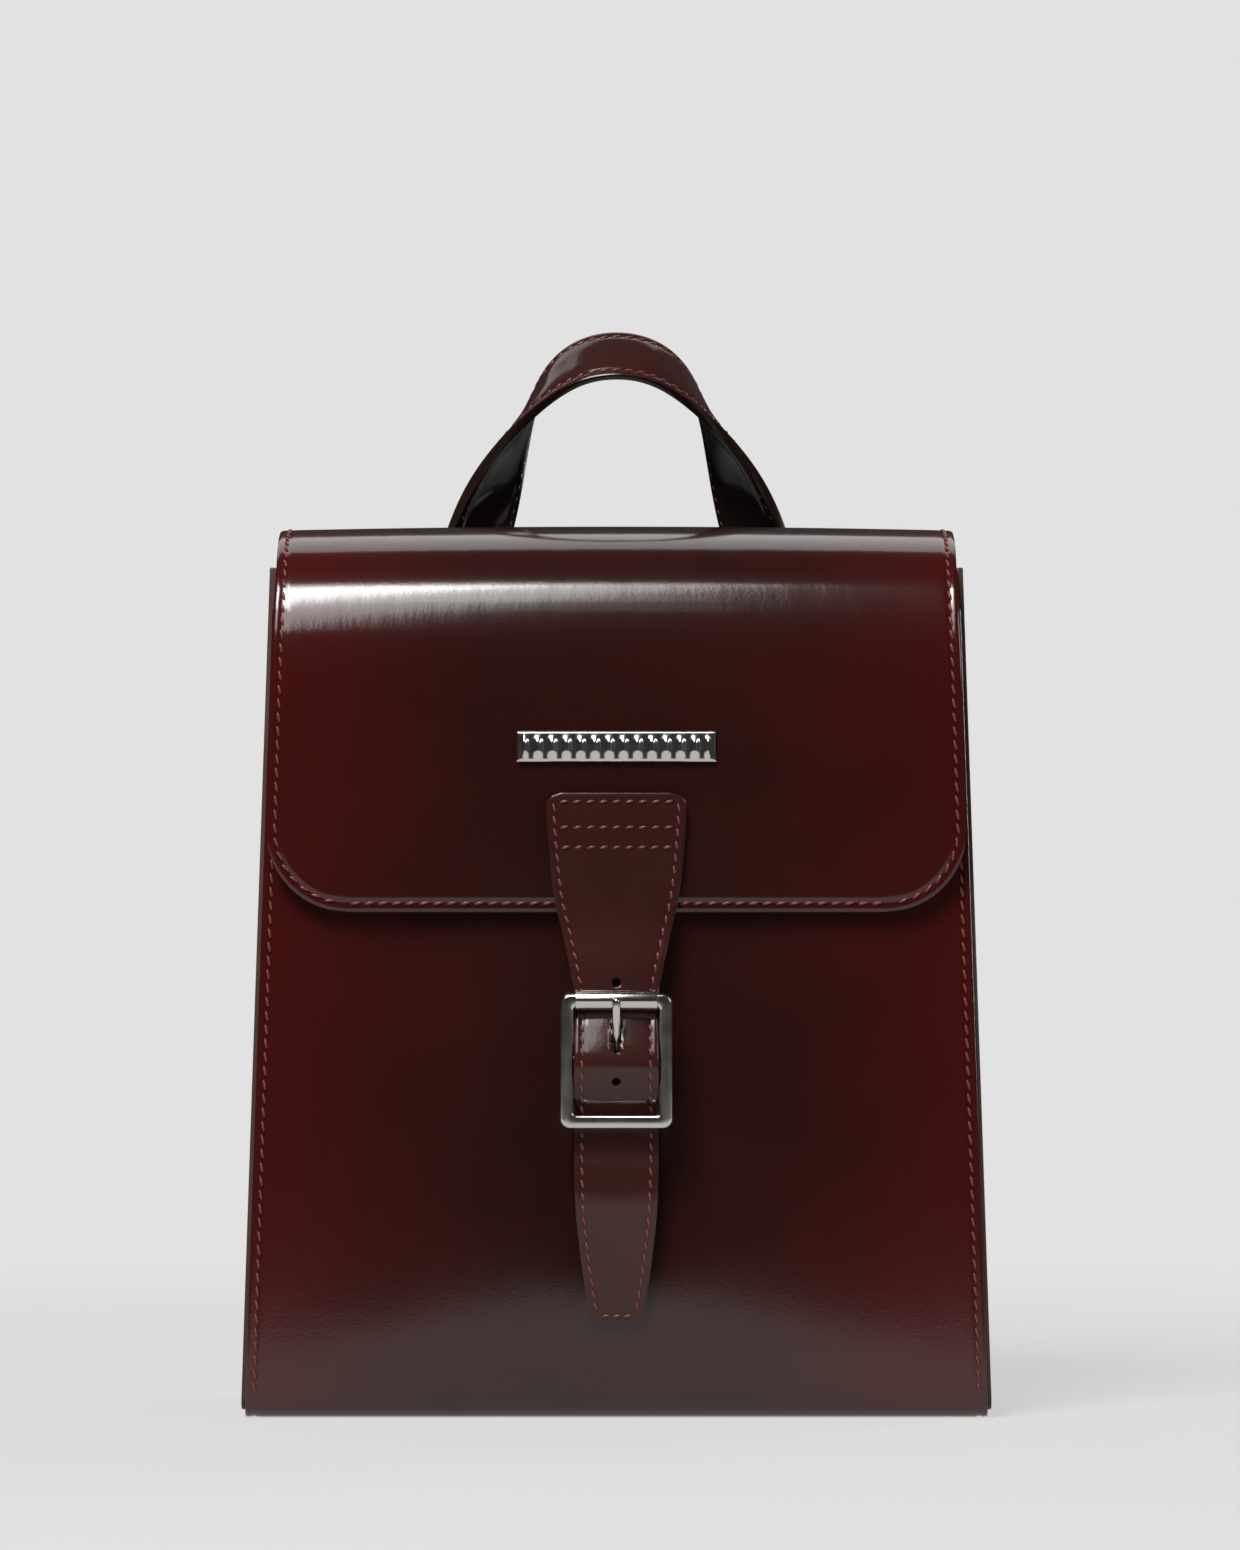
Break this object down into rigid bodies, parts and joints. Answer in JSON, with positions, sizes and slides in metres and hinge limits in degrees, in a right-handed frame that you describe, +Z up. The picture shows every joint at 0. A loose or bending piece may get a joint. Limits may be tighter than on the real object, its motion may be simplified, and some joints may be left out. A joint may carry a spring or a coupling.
{
  "type": "satchel bag",
  "caption": "Small upright leather satchel with a curved front flap, a buckled closure strap, a twisted top handle and rings on the back for a carrying strap.",
  "frame": {"origin": "middle of the underside, on the surface that the bag stands on", "axes": "+Z up, -Y towards the front with the flap and the buckle, +X to the right seen from the front"},
  "size_m": [0.212, 0.1129, 0.3101],
  "materials": {
    "red_leather": "glossy, with stitched and painted edges",
    "dark_leather": "semi-gloss",
    "nickel": "polished nickel",
    "lining_cloth": "woven",
    "fibre_board": "pressed fibre"
  },
  "bodies": {
    "root": {"front_panel": "red_leather", "back_panel": "red_leather", "gusset_left": "dark_leather", "gusset_right": "dark_leather", "base_board": "fibre_board", "lining_front": "lining_cloth", "lining_back": "lining_cloth", "lining_left": "lining_cloth", "lining_right": "lining_cloth", "lining_base": "lining_cloth", "pocket_panel": "dark_leather", "pocket_gusset": "lining_cloth", "flap_rear": "red_leather", "handle_patch": "red_leather", "handle_end_left": "red_leather", "handle_end_right": "red_leather", "snap_socket": "nickel", "snap_backplate": "nickel", "tab_upper_left": "dark_leather", "tab_upper_right": "dark_leather", "tab_lower_left": "dark_leather", "tab_lower_right": "dark_leather"},
    "flap": {"flap": "red_leather", "flap_lining": "lining_cloth", "badge": "nickel", "badge_washers": "nickel", "strap_head": "red_leather"},
    "strap": {"closure_strap": "red_leather", "buckle_chape": "dark_leather", "buckle_frame": "nickel", "snap_stud": "nickel"},
    "prong": {"buckle_prong": "nickel"},
    "roller": {"buckle_roller": "nickel"},
    "handle": {"handle_strap": "red_leather"},
    "ring_upper_left": {"ring_upper_left": "nickel"},
    "ring_upper_right": {"ring_upper_right": "nickel"},
    "ring_lower_left": {"ring_lower_left": "nickel"},
    "ring_lower_right": {"ring_lower_right": "nickel"}
  },
  "joints": [
    {"name": "flap_hinge", "type": "hinge", "parent": "root", "child": "flap", "pos_m": [0, 0.03652, 0.24512], "axis": [-1, 0, 0], "range_deg": [0, 150]},
    {"name": "strap_swing", "type": "hinge", "parent": "flap", "child": "strap", "pos_m": [0, -0.04886, 0.1505], "axis": [-1, 0, 0], "range_deg": [0, 80]},
    {"name": "prong_pivot", "type": "hinge", "parent": "strap", "child": "prong", "pos_m": [0, -0.05502, 0.101], "axis": [1, 0, 0], "range_deg": [0, 22]},
    {"name": "roller_spin", "type": "hinge", "parent": "strap", "child": "roller", "pos_m": [0, -0.05742, 0.11795], "axis": [1, 0, 0], "continuous": true},
    {"name": "handle_fold", "type": "hinge", "parent": "root", "child": "handle", "pos_m": [0, 0.04333, 0.235], "axis": [-1, 0, 0], "range_deg": [0, 106]},
    {"name": "ring_upper_left_swing", "type": "hinge", "parent": "root", "child": "ring_upper_left", "pos_m": [-0.026, 0.0441, 0.164], "axis": [1, 0, 0], "range_deg": [0, 150]},
    {"name": "ring_upper_right_swing", "type": "hinge", "parent": "root", "child": "ring_upper_right", "pos_m": [0.026, 0.0441, 0.164], "axis": [1, 0, 0], "range_deg": [0, 150]},
    {"name": "ring_lower_left_swing", "type": "hinge", "parent": "root", "child": "ring_lower_left", "pos_m": [-0.08, 0.0471, 0.044], "axis": [1, 0, 0], "range_deg": [0, 150]},
    {"name": "ring_lower_right_swing", "type": "hinge", "parent": "root", "child": "ring_lower_right", "pos_m": [0.08, 0.0471, 0.044], "axis": [1, 0, 0], "range_deg": [0, 150]}
  ],
  "couplings": [
    {"joint": "handle_fold", "follows": "flap_hinge", "ratio": 0.7}
  ]
}
